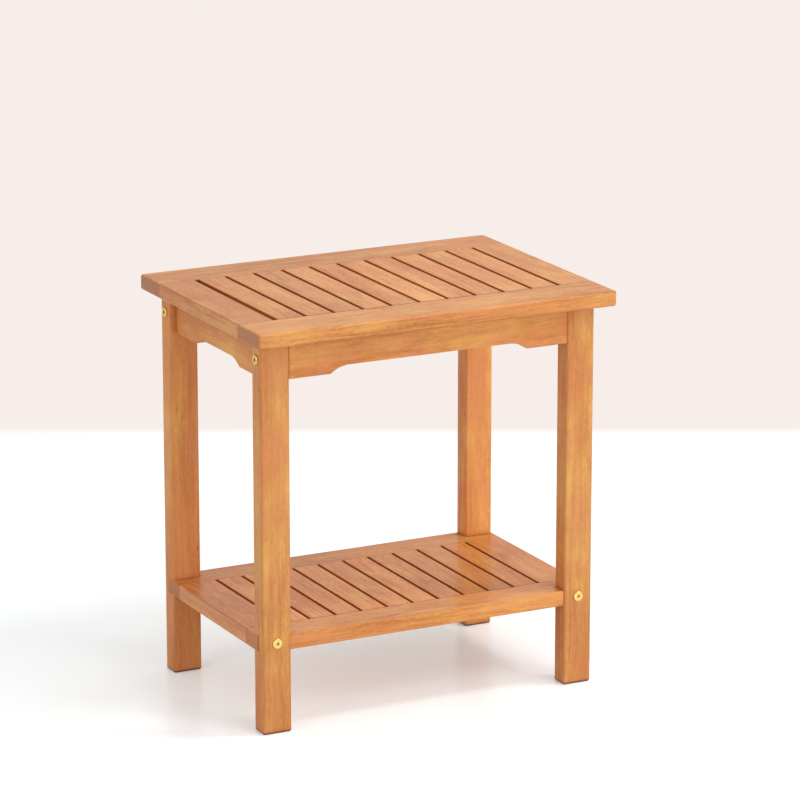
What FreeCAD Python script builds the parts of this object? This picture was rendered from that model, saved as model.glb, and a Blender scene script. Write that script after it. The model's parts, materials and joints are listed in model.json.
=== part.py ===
import FreeCAD, Part
import math
import os
import re

import Sketcher

# End table with a slatted top and a slatted shelf.
# X runs along the table, Y from front to back and Z up.  The origin lies on the floor under the middle.

# Driving dimensions, in millimetres (slat_count is a number of slats).
DIMENSIONS = {
    # whole table
    "table_length": 495.3,
    "table_depth": 355.6,
    "table_height": 520.7,
    "slat_count": 10,
    # legs
    "leg_width": 39.0,
    "leg_depth": 26.0,
    "leg_rounding": 3.0,
    "foot_chamfer": 2.0,
    "end_overhang": 15.6,
    "side_overhang": 30.0,
    # slatted top
    "top_thickness": 19.5,
    "top_rail_width": 60.3,
    "top_end_rail_width": 47.5,
    "top_slot": 4.8,
    "top_first_slot_extra": 2.5,
    "top_rounding": 3.0,
    "top_corner_rounding": 4.5,
    # slatted shelf
    "shelf_underside": 106.0,
    "shelf_thickness": 20.0,
    "shelf_rail_width": 44.5,
    "shelf_end_rail_width": 50.0,
    "shelf_slot": 4.15,
    "shelf_side_recess": 2.5,
    "shelf_end_reach": 1.0,
    "shelf_rounding": 1.2,
    "housing_depth": 13.0,
    # aprons
    "apron_height": 49.0,
    "apron_thickness": 20.0,
    "apron_foot_length": 56.5,
    "arch_rise": 9.0,
    "arch_radius": 42.0,
    "apron_easing": 0.6,
    "long_apron_recess": 1.0,
    "side_apron_recess": 9.5,
    # joints between boards
    "board_easing": 0.6,
    "tenon_thickness": 8.0,
    "slat_tenon_length": 8.0,
    "slat_tenon_shoulder": 3.0,
    "end_tenon_length": 10.0,
    "end_tenon_shoulder": 8.0,
    "joint_clearance": 0.15,
    # dowels between aprons and legs
    "dowel_diameter": 8.0,
    "dowel_reach": 12.0,
    "dowel_wall": 3.5,
    "dowel_chamfer": 1.0,
    "dowel_clearance": 0.1,
    "dowel_end_gap": 0.5,
    "upper_dowel_drop": 10.0,
    "lower_dowel_rise": 11.0,
    # connector bolts and barrel nuts
    "bolt_diameter": 6.0,
    "bolt_head_diameter": 13.0,
    "bolt_head_thickness": 2.0,
    "bolt_head_chamfer": 0.5,
    "bolt_tip_chamfer": 0.8,
    "socket_width": 4.0,
    "socket_depth": 3.0,
    "bolt_hole_clearance": 0.25,
    "bolt_past_nut": 6.0,
    "bolt_tip_gap": 1.0,
    "nut_diameter": 10.0,
    "nut_length": 12.0,
    "nut_clearance": 0.15,
    "nut_bore_clearance": 0.1,
    "apron_bolt_above_middle": 1.8,
    "apron_nut_inset": 20.0,
    "shelf_bolt_above_middle": 1.5,
    "shelf_nut_inset": 12.7,
    # screws that hold the top to the aprons
    "screw_diameter": 4.0,
    "screw_head_diameter": 8.0,
    "screw_head_thickness": 2.6,
    "screw_head_chamfer": 0.8,
    "screw_tip_length": 4.0,
    "screw_tip_gap": 1.0,
    "screw_bite": 14.0,
    "screw_recess_length": 4.4,
    "screw_recess_width": 1.0,
    "screw_recess_depth": 1.4,
    "screw_hole_clearance": 0.15,
    "counterbore_depth": 12.0,
    "counterbore_clearance": 0.5,
    "long_apron_screw_offset": 90.0,
    "side_apron_screw_offset": 25.0,
}

# Sizes and places that follow from the driving dimensions.
DERIVED = {
    "top_underside": "table_height - top_thickness",
    "leg_centre_x": "table_length / 2 - end_overhang - leg_width / 2",
    "leg_centre_y": "table_depth / 2 - side_overhang - leg_depth / 2",
    "leg_gap_x": "2 * leg_centre_x - leg_width",
    "leg_gap_y": "2 * leg_centre_y - leg_depth",
    # top frame
    "top_length": "table_length",
    "top_depth": "table_depth",
    "top_base": "top_underside",
    "top_opening_x": "top_length - 2 * top_end_rail_width",
    "top_opening_y": "top_depth - 2 * top_rail_width",
    "top_slat_width":
        "(top_opening_x - top_first_slot_extra - (slat_count + 1) * top_slot) / slat_count",
    "top_first_slat":
        "top_first_slot_extra + top_slot + top_slat_width / 2 - top_opening_x / 2",
    # shelf frame
    "shelf_length": "2 * leg_centre_x + leg_width + 2 * shelf_end_reach",
    "shelf_depth": "2 * leg_centre_y + leg_depth - 2 * shelf_side_recess",
    "shelf_base": "shelf_underside",
    "shelf_opening_x": "shelf_length - 2 * shelf_end_rail_width",
    "shelf_opening_y": "shelf_depth - 2 * shelf_rail_width",
    "shelf_slat_width": "(shelf_opening_x - (slat_count + 1) * shelf_slot) / slat_count",
    "shelf_first_slat": "shelf_slot + shelf_slat_width / 2 - shelf_opening_x / 2",
    "housing_floor": "leg_centre_y - leg_depth / 2 + housing_depth",
    "shelf_notch_depth": "shelf_depth / 2 - housing_floor + joint_clearance",
    "shelf_notch_length": "(shelf_length - leg_gap_x) / 2 + joint_clearance",
    # aprons
    "apron_base": "top_underside - apron_height",
    "arch_height": "apron_height - arch_rise",
    "long_apron_y": "leg_centre_y + leg_depth / 2 - long_apron_recess - apron_thickness / 2",
    "side_apron_x": "leg_centre_x + leg_width / 2 - side_apron_recess - apron_thickness / 2",
    # dowels, bolts and nuts
    "dowel_hole": "dowel_diameter + 2 * dowel_clearance",
    "lower_dowel_drop": "apron_height - lower_dowel_rise",
    "side_dowel_depth": "leg_width - side_apron_recess - apron_thickness / 2",
    "long_dowel_leg_reach": "side_dowel_depth - dowel_diameter / 2 - dowel_wall",
    "bolt_hole": "bolt_diameter + 2 * bolt_hole_clearance",
    "nut_hole": "nut_diameter + 2 * nut_clearance",
    "apron_bolt_rise": "apron_height / 2 + apron_bolt_above_middle",
    "apron_bolt_z": "apron_base + apron_bolt_rise",
    "apron_bolt_length": "leg_width + apron_nut_inset + bolt_past_nut",
    "shelf_bolt_rise": "shelf_thickness / 2 + shelf_bolt_above_middle",
    "shelf_bolt_z": "shelf_underside + shelf_bolt_rise",
    "shelf_nut_y": "housing_floor - shelf_nut_inset",
    "shelf_bolt_length": "leg_depth - housing_depth + shelf_nut_inset + bolt_past_nut",
    # screws
    "screw_length": "arch_height - counterbore_depth + screw_bite",
    "screw_hole": "screw_diameter + 2 * screw_hole_clearance",
    "counterbore": "screw_head_diameter + 2 * counterbore_clearance",
}

# How each origin plane of a body lays out a point of the body for a sketch on it.
PLANE_AXES = {
    "XY_Plane": ("x", "y", "z"),
    "XZ_Plane": ("x", "z", "-y"),
    "YZ_Plane": ("y", "z", "x"),
}
FRONT, BACK, LEFT, RIGHT = -1, 1, -1, 1
SIDE_NAMES = {(FRONT, "y"): "front", (BACK, "y"): "back", (LEFT, "x"): "left", (RIGHT, "x"): "right"}
CORNERS = [(LEFT, FRONT), (RIGHT, FRONT), (LEFT, BACK), (RIGHT, BACK)]
DOWEL_DROPS = ("upper_dowel_drop", "lower_dowel_drop")
THROUGH = "4 * leg_width"
Z_AXIS = FreeCAD.Vector(0, 0, 1)
SAME_PLACE = 0.001

doc = FreeCAD.newDocument("end_table")
sheet = doc.addObject("Spreadsheet::Sheet", "Dimensions")
pieces = []
cuts = []


def fill_sheet():
    """Give every driving dimension a row of its own: its name, its value and its alias."""
    for row, (name, value) in enumerate(DIMENSIONS.items(), start=1):
        sheet.set(f"A{row}", name)
        sheet.set(f"B{row}", str(value))
        sheet.setAlias(f"B{row}", name)
    doc.recompute()


def formula(text):
    """Spell out the derived names in a formula and point each dimension at its cell."""
    def spell(match):
        word = match.group(0)
        if word in DERIVED:
            return "(" + formula(DERIVED[word]) + ")"
        return "Dimensions." + word
    return re.sub(r"[a-z][a-z_]*", spell, text)


def number(text):
    """Value that a formula has now."""
    return float(sheet.evalExpression(formula(text)))


def bind(item, prop, text):
    item.setExpression(prop, formula(text))


def place(item, x, y, z, rotation=FreeCAD.Rotation()):
    """Turn an object and bind its place in the table to the sheet."""
    item.Placement = FreeCAD.Placement(FreeCAD.Vector(), rotation)
    for axis, text in zip("xyz", (x, y, z)):
        bind(item, "Placement.Base." + axis, text)


def corner_name(side_x, side_y):
    return SIDE_NAMES[side_y, "y"] + "_" + SIDE_NAMES[side_x, "x"]


def about_z(degrees):
    return FreeCAD.Rotation(Z_AXIS, degrees)


def new_body(label, x="0", y="0", z="0", rotation=FreeCAD.Rotation()):
    body = doc.addObject("PartDesign::Body", label)
    body.Label = label
    place(body, x, y, z, rotation)
    return body


def origin_feature(body, role):
    return next(item for item in body.Origin.OriginFeatures if item.Role == role)


def new_sketch(body, name, plane, x="0", y="0", z="0"):
    """Empty sketch parallel to an origin plane, with its own origin at a point of the body."""
    sketch = body.newObject("Sketcher::SketchObject", name)
    sketch.AttachmentSupport = [(origin_feature(body, plane), "")]
    sketch.MapMode = "FlatFace"
    point = {"x": x, "y": y, "z": z, "-y": f"-({y})"}
    for axis, key in zip("xyz", PLANE_AXES[plane]):
        bind(sketch, "AttachmentOffset.Base." + axis, point[key])
    return sketch


def add_size(sketch, name, constraint, text):
    """Add a dimension to a sketch and bind it to the sheet."""
    index = sketch.addConstraint(constraint)
    sketch.renameConstraint(index, name)
    bind(sketch, "Constraints." + name, text)


def add_loop(sketch, points):
    """Closed outline of straight lines, joined end to end."""
    count = len(points)
    for start, end in zip(points, points[1:] + points[:1]):
        sketch.addGeometry(Part.LineSegment(FreeCAD.Vector(*start), FreeCAD.Vector(*end)), False)
    for line in range(count):
        sketch.addConstraint(Sketcher.Constraint("Coincident", line, 2, (line + 1) % count, 1))


def rectangle(body, name, plane, width, height, **centre):
    """Sketch of a rectangle about a point of the body."""
    sketch = new_sketch(body, name, plane, **centre)
    right, top = number(width) / 2, number(height) / 2
    add_loop(sketch, [(-right, -top), (right, -top), (right, top), (-right, top)])
    for line in (0, 2):
        sketch.addConstraint(Sketcher.Constraint("Horizontal", line))
    for line in (1, 3):
        sketch.addConstraint(Sketcher.Constraint("Vertical", line))
    sketch.addConstraint(Sketcher.Constraint("Symmetric", 0, 1, 2, 1, -1, 1))
    add_size(sketch, "Width", Sketcher.Constraint("DistanceX", 0, 1, 0, 2, 2 * right), width)
    add_size(sketch, "Height", Sketcher.Constraint("DistanceY", 1, 1, 1, 2, 2 * top), height)
    return sketch


def circle(body, name, plane, diameter, **centre):
    """Sketch of a circle about a point of the body."""
    sketch = new_sketch(body, name, plane, **centre)
    radius = number(diameter) / 2
    sketch.addGeometry(Part.Circle(FreeCAD.Vector(), Z_AXIS, radius), False)
    sketch.addConstraint(Sketcher.Constraint("Coincident", 0, 3, -1, 1))
    add_size(sketch, "Diameter", Sketcher.Constraint("Diameter", 0, 2 * radius), diameter)
    return sketch


def hexagon(body, name, plane, width, **centre):
    """Sketch of a regular hexagon, given by its width across flats."""
    sketch = new_sketch(body, name, plane, **centre)
    radius = number(width) / math.sqrt(3)
    turns = [math.radians(60 * corner) for corner in range(6)]
    add_loop(sketch, [(radius * math.cos(turn), radius * math.sin(turn)) for turn in turns])
    guide = sketch.addGeometry(Part.Circle(FreeCAD.Vector(), Z_AXIS, radius), True)
    sketch.addConstraint(Sketcher.Constraint("Coincident", guide, 3, -1, 1))
    for line in range(6):
        sketch.addConstraint(Sketcher.Constraint("PointOnObject", line, 1, guide))
    for line in range(5):
        sketch.addConstraint(Sketcher.Constraint("Equal", line, line + 1))
    sketch.addConstraint(Sketcher.Constraint("Horizontal", 1))
    across = Sketcher.Constraint("DistanceY", 4, 1, 1, 1, number(width))
    add_size(sketch, "Width", across, width)
    return sketch


def turned_profile(body, name, outline):
    """Half section beside the Z axis: each point is a radius and a height, first and last on the axis."""
    sketch = new_sketch(body, name, "XZ_Plane")
    add_loop(sketch, [(number(radius), number(height)) for radius, height in outline])
    last = len(outline) - 1
    for point in (0, last):
        sketch.addConstraint(Sketcher.Constraint("PointOnObject", point, 1, -2))
    for point, (radius, height) in enumerate(outline):
        if point not in (0, last):
            across = Sketcher.Constraint("DistanceX", -1, 1, point, 1, number(radius))
            add_size(sketch, f"Radius{point}", across, radius)
        up = Sketcher.Constraint("DistanceY", -1, 1, point, 1, number(height))
        add_size(sketch, f"Height{point}", up, height)
    return sketch


def extrude(body, kind, name, sketch, length):
    """Pad or pocket that reaches as far on both sides of its sketch."""
    feature = body.newObject("PartDesign::" + kind, name)
    feature.Profile = sketch
    feature.SideType = "Symmetric"
    bind(feature, "Length", length)
    return feature


def pad(body, name, sketch, length):
    return extrude(body, "Pad", name, sketch, length)


def pocket(body, name, sketch, length):
    before = body.Tip
    feature = extrude(body, "Pocket", name, sketch, length)
    cuts.append((before, feature))
    return feature


def drill(body, name, plane, diameter, depth, **centre):
    """Round hole along the normal of a plane; the centre is the middle of its depth."""
    return pocket(body, name, circle(body, name + "Sketch", plane, diameter, **centre), depth)


def mirror(body, name, features, plane):
    """Repeat features on the other side of one of the body's own origin planes."""
    before = body.Tip
    feature = body.newObject("PartDesign::Mirrored", name)
    feature.Originals = features
    feature.MirrorPlane = (origin_feature(body, plane), [""])
    body.Tip = feature
    cuts.append((before, feature))
    return feature


def dress(body, kind, name, base, size, wanted):
    """Fillet or chamfer the edges of a feature that pass a test."""
    doc.recompute()
    edges = [f"Edge{n}" for n, edge in enumerate(base.Shape.Edges, 1) if wanted(edge.BoundBox)]
    feature = body.newObject("PartDesign::" + kind, name)
    feature.Base = (base, edges)
    bind(feature, "Radius" if kind == "Fillet" else "Size", size)
    cuts.append((base, feature))
    return feature


def lies_at(low, high, place):
    """Whether an edge that spans low to high along an axis lies flat at a place on it."""
    return abs(low - place) < SAME_PLACE and abs(high - place) < SAME_PLACE


def is_level(box):
    return box.ZLength < SAME_PLACE


def round_corners(body, blank, outer_y, rounding):
    """Round the two upright corners of a rail's outer side."""
    place = number(outer_y)
    return dress(
        body, "Fillet", "RoundedCorners", blank, rounding,
        lambda box: not is_level(box) and lies_at(box.YMin, box.YMax, place))


def round_long_rail(body, blank, inner_y, rounding):
    """Round a rail's outer and end edges, and ease the edges of the side that the others butt against."""
    place = number(inner_y)

    def inner(box):
        return lies_at(box.YMin, box.YMax, place)
    rounded = dress(
        body, "Fillet", "RoundedEdges", blank, rounding, lambda box: is_level(box) and not inner(box))
    dress(body, "Fillet", "EasedEdges", rounded, "board_easing", inner)


def round_end_rail(body, blank, outer_x, rounding):
    """Round an end rail's outer long edges and ease its inner ones."""
    place = number(outer_x)
    rounded = dress(
        body, "Fillet", "RoundedEdges", blank, rounding,
        lambda box: is_level(box) and lies_at(box.XMin, box.XMax, place))
    dress(
        body, "Fillet", "EasedEdges", rounded, "board_easing",
        lambda box: is_level(box) and lies_at(box.XMin, box.XMax, -place))


def board_blank(body, width, depth, thickness):
    """Plain board about the body's Z axis, standing on its XY plane."""
    sketch = rectangle(body, "BoardSketch", "XY_Plane", width, depth, z=f"({thickness}) / 2")
    return pad(body, "Board", sketch, thickness)


def add_tenons(body, width, length, thickness):
    """One tongue through the board that stands out at both of its ends."""
    sketch = rectangle(body, "TenonSketch", "XY_Plane", width, length, z=f"({thickness}) / 2")
    return pad(body, "Tenons", sketch, "tenon_thickness")


def cut_mortise(body, name, frame, x, y, width, length):
    """Mortise that opens at the long edge y of a rail."""
    sketch = rectangle(
        body, name + "Sketch", "XY_Plane",
        f"({width}) + 2 * joint_clearance", f"2 * ({length}) + 2 * joint_clearance",
        x=x, y=y, z=f"{frame}_thickness / 2")
    return pocket(body, name, sketch, "tenon_thickness + 2 * joint_clearance")


def cut_slat_mortises(body, frame, y):
    """Row of mortises for the slats, one pitch apart."""
    width = f"{frame}_slat_width - 2 * slat_tenon_shoulder"
    first = cut_mortise(body, "SlatMortise", frame, f"{frame}_first_slat", y, width, "slat_tenon_length")
    row = body.newObject("PartDesign::LinearPattern", "SlatMortises")
    row.Originals = [first]
    row.Direction = (origin_feature(body, "X_Axis"), [""])
    bind(row, "Length", f"(slat_count - 1) * ({frame}_slat_width + {frame}_slot)")
    bind(row, "Occurrences", "slat_count")
    body.Tip = row
    cuts.append((first, row))


def long_rail(frame, side):
    """Front or back rail of a slatted frame, with the mortises for slats and end rails."""
    label = f"{frame}_{SIDE_NAMES[side, 'y']}_rail"
    width = f"{frame}_rail_width"
    centre_y = f"{side} * ({frame}_depth - {width}) / 2"
    body = new_body(label, y=centre_y, z=f"{frame}_base")
    blank = board_blank(body, f"{frame}_length", width, f"{frame}_thickness")
    inner_edge = f"{-side} * {width} / 2"
    if frame == "top":
        blank = round_corners(body, blank, f"{side} * {width} / 2", "top_corner_rounding")
    round_long_rail(body, blank, inner_edge, f"{frame}_rounding")
    cut_slat_mortises(body, frame, inner_edge)
    end_mortise = cut_mortise(
        body, "EndRailMortise", frame, f"({frame}_length - {frame}_end_rail_width) / 2", inner_edge,
        f"{frame}_end_rail_width - 2 * end_tenon_shoulder", "end_tenon_length")
    mirror(body, "EndRailMortises", [end_mortise], "YZ_Plane")
    if frame == "top":
        drill_pilots(body, f"{side} * long_apron_y - {centre_y}", along_x=True)
    else:
        fit_rail_to_legs(body, side, centre_y)
    pieces.append(body)


def drill_pilots(body, offset, along_x):
    """Two screw holes in the underside of the top, above the screw holes of an apron."""
    if along_x:
        spot = {"x": "long_apron_screw_offset", "y": offset}
        plane = "YZ_Plane"
    else:
        spot = {"x": offset, "y": "side_apron_screw_offset"}
        plane = "XZ_Plane"
    pilot = drill(body, "ScrewPilot", "XY_Plane", "screw_hole", "2 * (screw_bite + screw_tip_gap)", **spot)
    mirror(body, "ScrewPilots", [pilot], plane)


def fit_rail_to_legs(body, side, centre_y):
    """Notch both ends of a shelf rail round the legs, and drill it for the bolts and barrel nuts."""
    notch_sketch = rectangle(
        body, "LegNotchSketch", "XY_Plane", "2 * shelf_notch_length", "2 * shelf_notch_depth",
        x="shelf_length / 2", y=f"{side} * shelf_rail_width / 2")
    notch = pocket(body, "LegNotch", notch_sketch, THROUGH)
    reach = "shelf_nut_inset + bolt_past_nut + bolt_tip_gap"
    bolt_hole = drill(
        body, "BoltHole", "XZ_Plane", "bolt_hole", f"2 * ({reach})",
        x="leg_centre_x", y=f"{side} * housing_floor - {centre_y}", z="shelf_bolt_rise")
    nut_reach = "shelf_bolt_rise + nut_length / 2 + nut_clearance"
    nut_hole = drill(
        body, "NutHole", "XY_Plane", "nut_hole", f"2 * ({nut_reach})",
        x="leg_centre_x", y=f"{side} * shelf_nut_y - {centre_y}")
    mirror(body, "OtherEnd", [notch, bolt_hole, nut_hole], "YZ_Plane")


def end_rail(frame, side):
    """Left or right rail of a slatted frame, tenoned into the long rails."""
    label = f"{frame}_{SIDE_NAMES[side, 'x']}_end_rail"
    width = f"{frame}_end_rail_width"
    centre_x = f"{side} * ({frame}_length - {width}) / 2"
    body = new_body(label, x=centre_x, z=f"{frame}_base")
    blank = board_blank(body, width, f"{frame}_opening_y - 2 * joint_clearance", f"{frame}_thickness")
    round_end_rail(body, blank, f"{side} * {width} / 2", f"{frame}_rounding")
    add_tenons(
        body, f"{width} - 2 * end_tenon_shoulder", f"{frame}_opening_y + 2 * end_tenon_length",
        f"{frame}_thickness")
    if frame == "top":
        drill_pilots(body, f"{side} * side_apron_x - {centre_x}", along_x=False)
    pieces.append(body)


def slat(frame, index):
    """One slat, with a tenon at each end; the slats stand one pitch apart."""
    centre_x = f"{frame}_first_slat + {index} * ({frame}_slat_width + {frame}_slot)"
    body = new_body(f"{frame}_slat_{index + 1:02d}", x=centre_x, z=f"{frame}_base")
    blank = board_blank(
        body, f"{frame}_slat_width", f"{frame}_opening_y - 2 * joint_clearance", f"{frame}_thickness")
    dress(body, "Fillet", "EasedEdges", blank, "board_easing", is_level)
    add_tenons(
        body, f"{frame}_slat_width - 2 * slat_tenon_shoulder", f"{frame}_opening_y + 2 * slat_tenon_length",
        f"{frame}_thickness")
    pieces.append(body)


def slatted_frame(frame):
    for side in (FRONT, BACK):
        long_rail(frame, side)
    for side in (LEFT, RIGHT):
        end_rail(frame, side)
    for index in range(DIMENSIONS["slat_count"]):
        slat(frame, index)


def leg(side_x, side_y):
    """Leg with rounded corners, a housing for the shelf, and holes for its bolts and dowels."""
    label = corner_name(side_x, side_y) + "_leg"
    body = new_body(label, x=f"{side_x} * leg_centre_x", y=f"{side_y} * leg_centre_y")
    blank = board_blank(body, "leg_width", "leg_depth", "top_underside")
    rounded = dress(body, "Fillet", "RoundedEdges", blank, "leg_rounding", lambda box: not is_level(box))
    dress(
        body, "Chamfer", "FootChamfer", rounded, "foot_chamfer",
        lambda box: lies_at(box.ZMin, box.ZMax, 0))
    inner_x = f"{-side_x} * leg_width / 2"
    inner_y = f"{-side_y} * leg_depth / 2"
    housing = rectangle(
        body, "HousingSketch", "XY_Plane", "2 * leg_width", "2 * housing_depth",
        y=inner_y, z="shelf_underside + shelf_thickness / 2")
    pocket(body, "ShelfHousing", housing, "shelf_thickness + 2 * joint_clearance")
    drill(body, "ShelfBoltHole", "XZ_Plane", "bolt_hole", THROUGH, z="shelf_bolt_z")
    drill(body, "ApronBoltHole", "YZ_Plane", "bolt_hole", THROUGH, z="apron_bolt_z")
    for count, drop in enumerate(DOWEL_DROPS, 1):
        height = f"top_underside - {drop}"
        drill(
            body, f"SideDowelHole{count}", "XZ_Plane", "dowel_hole", "2 * (dowel_reach + dowel_end_gap)",
            x=f"{side_x} * (side_apron_x - leg_centre_x)", y=inner_y, z=height)
        drill(
            body, f"LongDowelHole{count}", "YZ_Plane", "dowel_hole",
            "2 * (long_dowel_leg_reach + dowel_end_gap)",
            x=inner_x, y=f"{side_y} * (long_apron_y - leg_centre_y)", z=height)
    pieces.append(body)


def apron_outline(body, length):
    """Board outline on its long face: level feet at the ends and a raised middle, joined by arcs."""
    sketch = new_sketch(body, "OutlineSketch", "XZ_Plane")
    half, foot, top = number(length) / 2, number("apron_foot_length"), number("apron_height")
    rise, radius = number("arch_rise"), number("arch_radius")
    corner = half - foot
    crown = corner - math.sqrt(2 * radius * rise - rise ** 2)
    foot_turn = math.asin((radius - rise) / radius)

    def line(start, end):
        sketch.addGeometry(Part.LineSegment(FreeCAD.Vector(*start), FreeCAD.Vector(*end)), False)

    def arc(centre_x, first, last):
        whole = Part.Circle(FreeCAD.Vector(centre_x, rise - radius), Z_AXIS, radius)
        sketch.addGeometry(Part.ArcOfCircle(whole, first, last), False)
    line((-half, 0), (-corner, 0))
    arc(-crown, math.pi / 2, math.pi - foot_turn)
    line((-crown, rise), (crown, rise))
    arc(crown, foot_turn, math.pi / 2)
    line((corner, 0), (half, 0))
    line((half, 0), (half, top))
    line((half, top), (-half, top))
    line((-half, top), (-half, 0))
    for first, second in (((0, 2), (1, 2)), ((3, 1), (4, 1)), ((4, 2), (5, 1)), ((5, 2), (6, 1)),
                          ((6, 2), (7, 1)), ((7, 2), (0, 1))):
        sketch.addConstraint(Sketcher.Constraint("Coincident", *first, *second))
    sketch.addConstraint(Sketcher.Constraint("Tangent", 1, 1, 2, 1))
    sketch.addConstraint(Sketcher.Constraint("Tangent", 2, 2, 3, 2))
    for edge in (0, 6):
        sketch.addConstraint(Sketcher.Constraint("Horizontal", edge))
    for edge in (5, 7):
        sketch.addConstraint(Sketcher.Constraint("Vertical", edge))
    sketch.addConstraint(Sketcher.Constraint("PointOnObject", 0, 1, -1))
    sketch.addConstraint(Sketcher.Constraint("Symmetric", 0, 1, 4, 2, -2))
    sketch.addConstraint(Sketcher.Constraint("Symmetric", 0, 2, 4, 1, -2))
    sketch.addConstraint(Sketcher.Constraint("Symmetric", 2, 1, 2, 2, -2))
    add_size(sketch, "Length", Sketcher.Constraint("DistanceX", 0, 1, 4, 2, 2 * half), length)
    add_size(sketch, "Foot", Sketcher.Constraint("DistanceX", 0, 1, 0, 2, foot), "apron_foot_length")
    add_size(sketch, "Rise", Sketcher.Constraint("DistanceY", 0, 2, 2, 1, rise), "arch_rise")
    add_size(sketch, "Height", Sketcher.Constraint("DistanceY", 5, 1, 5, 2, top), "apron_height")
    add_size(sketch, "Radius", Sketcher.Constraint("Radius", 1, radius), "arch_radius")
    return sketch


def apron(label, length, screw_offset, rotation, x="0", y="0"):
    """Apron between two legs, with dowel holes in its ends and screw holes up into the top."""
    body = new_body(label, x=x, y=y, z="apron_base", rotation=rotation)
    board = pad(body, "Board", apron_outline(body, length), "apron_thickness")
    half, top = number(length) / 2, number("apron_height")

    def lower_long(box):
        on_face = box.YLength < SAME_PLACE
        on_end = lies_at(box.XMin, box.XMax, -half) or lies_at(box.XMin, box.XMax, half)
        return on_face and not on_end and not lies_at(box.ZMin, box.ZMax, top)
    dress(body, "Chamfer", "EasedEdges", board, "apron_easing", lower_long)
    features = []
    for count, drop in enumerate(DOWEL_DROPS, 1):
        features.append(drill(
            body, f"DowelHole{count}", "YZ_Plane", "dowel_hole", "2 * (dowel_reach + dowel_end_gap)",
            x=f"({length}) / 2", z=f"apron_height - {drop}"))
    features.append(drill(body, "ScrewHole", "XY_Plane", "screw_hole", THROUGH, x=screw_offset))
    features.append(drill(
        body, "Counterbore", "XY_Plane", "counterbore", "2 * (arch_rise + counterbore_depth)",
        x=screw_offset))
    pieces.append(body)
    return body, features


def long_apron(side):
    """Front or back apron: a bolt through each leg runs into a barrel nut near its end."""
    length = "leg_gap_x"
    label = f"{SIDE_NAMES[side, 'y']}_apron"
    turn = about_z(0 if side == FRONT else 180)
    body, features = apron(label, length, "long_apron_screw_offset", turn, y=f"{side} * long_apron_y")
    bolt_y = "long_apron_y - leg_centre_y"
    reach = "apron_nut_inset + bolt_past_nut + bolt_tip_gap"
    features.append(drill(
        body, "BoltHole", "YZ_Plane", "bolt_hole", f"2 * ({reach})",
        x=f"{length} / 2", y=bolt_y, z="apron_bolt_rise"))
    nut_reach = f"apron_thickness / 2 - ({bolt_y}) + nut_length / 2 + nut_clearance"
    features.append(drill(
        body, "NutHole", "XZ_Plane", "nut_hole", f"2 * ({nut_reach})",
        x=f"{length} / 2 - apron_nut_inset", y="apron_thickness / 2", z="apron_bolt_rise"))
    mirror(body, "OtherEnd", features, "YZ_Plane")


def side_apron(side):
    """Left or right apron, dowelled into the legs."""
    label = f"{SIDE_NAMES[side, 'x']}_apron"
    body, features = apron(
        label, "leg_gap_y", "side_apron_screw_offset", about_z(-90 * side), x=f"{side} * side_apron_x")
    mirror(body, "OtherEnd", features, "YZ_Plane")


def group(label, members):
    """One named piece of several identical fasteners."""
    compound = doc.addObject("Part::Compound", label)
    compound.Label = label
    compound.Links = members
    pieces.append(compound)


def turned_body(name, outline, spot, rotation):
    """Round part about its own Z axis."""
    body = new_body(name, *spot, rotation=rotation)
    feature = body.newObject("PartDesign::Revolution", "Turned")
    feature.Profile = turned_profile(body, "ProfileSketch", outline)
    feature.ReferenceAxis = (feature.Profile[0], ["V_Axis"])
    feature.Angle = 360
    return body


def point_z_along(x, y, z):
    return FreeCAD.Rotation(Z_AXIS, FreeCAD.Vector(x, y, z))


def connector_bolt(name, length, spot, outward):
    """Flat-headed bolt with a hexagon socket; its Z axis points out of the head."""
    outline = [
        ("0", f"-({length})"),
        ("bolt_diameter / 2 - bolt_tip_chamfer", f"-({length})"),
        ("bolt_diameter / 2", f"bolt_tip_chamfer - ({length})"),
        ("bolt_diameter / 2", "0"),
        ("bolt_head_diameter / 2", "0"),
        ("bolt_head_diameter / 2", "bolt_head_thickness - bolt_head_chamfer"),
        ("bolt_head_diameter / 2 - bolt_head_chamfer", "bolt_head_thickness"),
        ("0", "bolt_head_thickness"),
    ]
    body = turned_body(name, outline, spot, outward)
    socket = hexagon(body, "SocketSketch", "XY_Plane", "socket_width", z="bolt_head_thickness")
    pocket(body, "Socket", socket, "2 * socket_depth")
    return body


def barrel_nut(name, spot, rotation):
    """Cross-drilled barrel; its Z axis is the barrel's own and the bolt passes along its X axis."""
    half = "nut_length / 2"
    outline = [
        ("0", f"-{half}"), ("nut_diameter / 2", f"-{half}"), ("nut_diameter / 2", half), ("0", half)]
    body = turned_body(name, outline, spot, rotation)
    drill(body, "BoltBore", "YZ_Plane", "bolt_diameter + 2 * nut_bore_clearance", "2 * nut_diameter")
    return body


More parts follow.
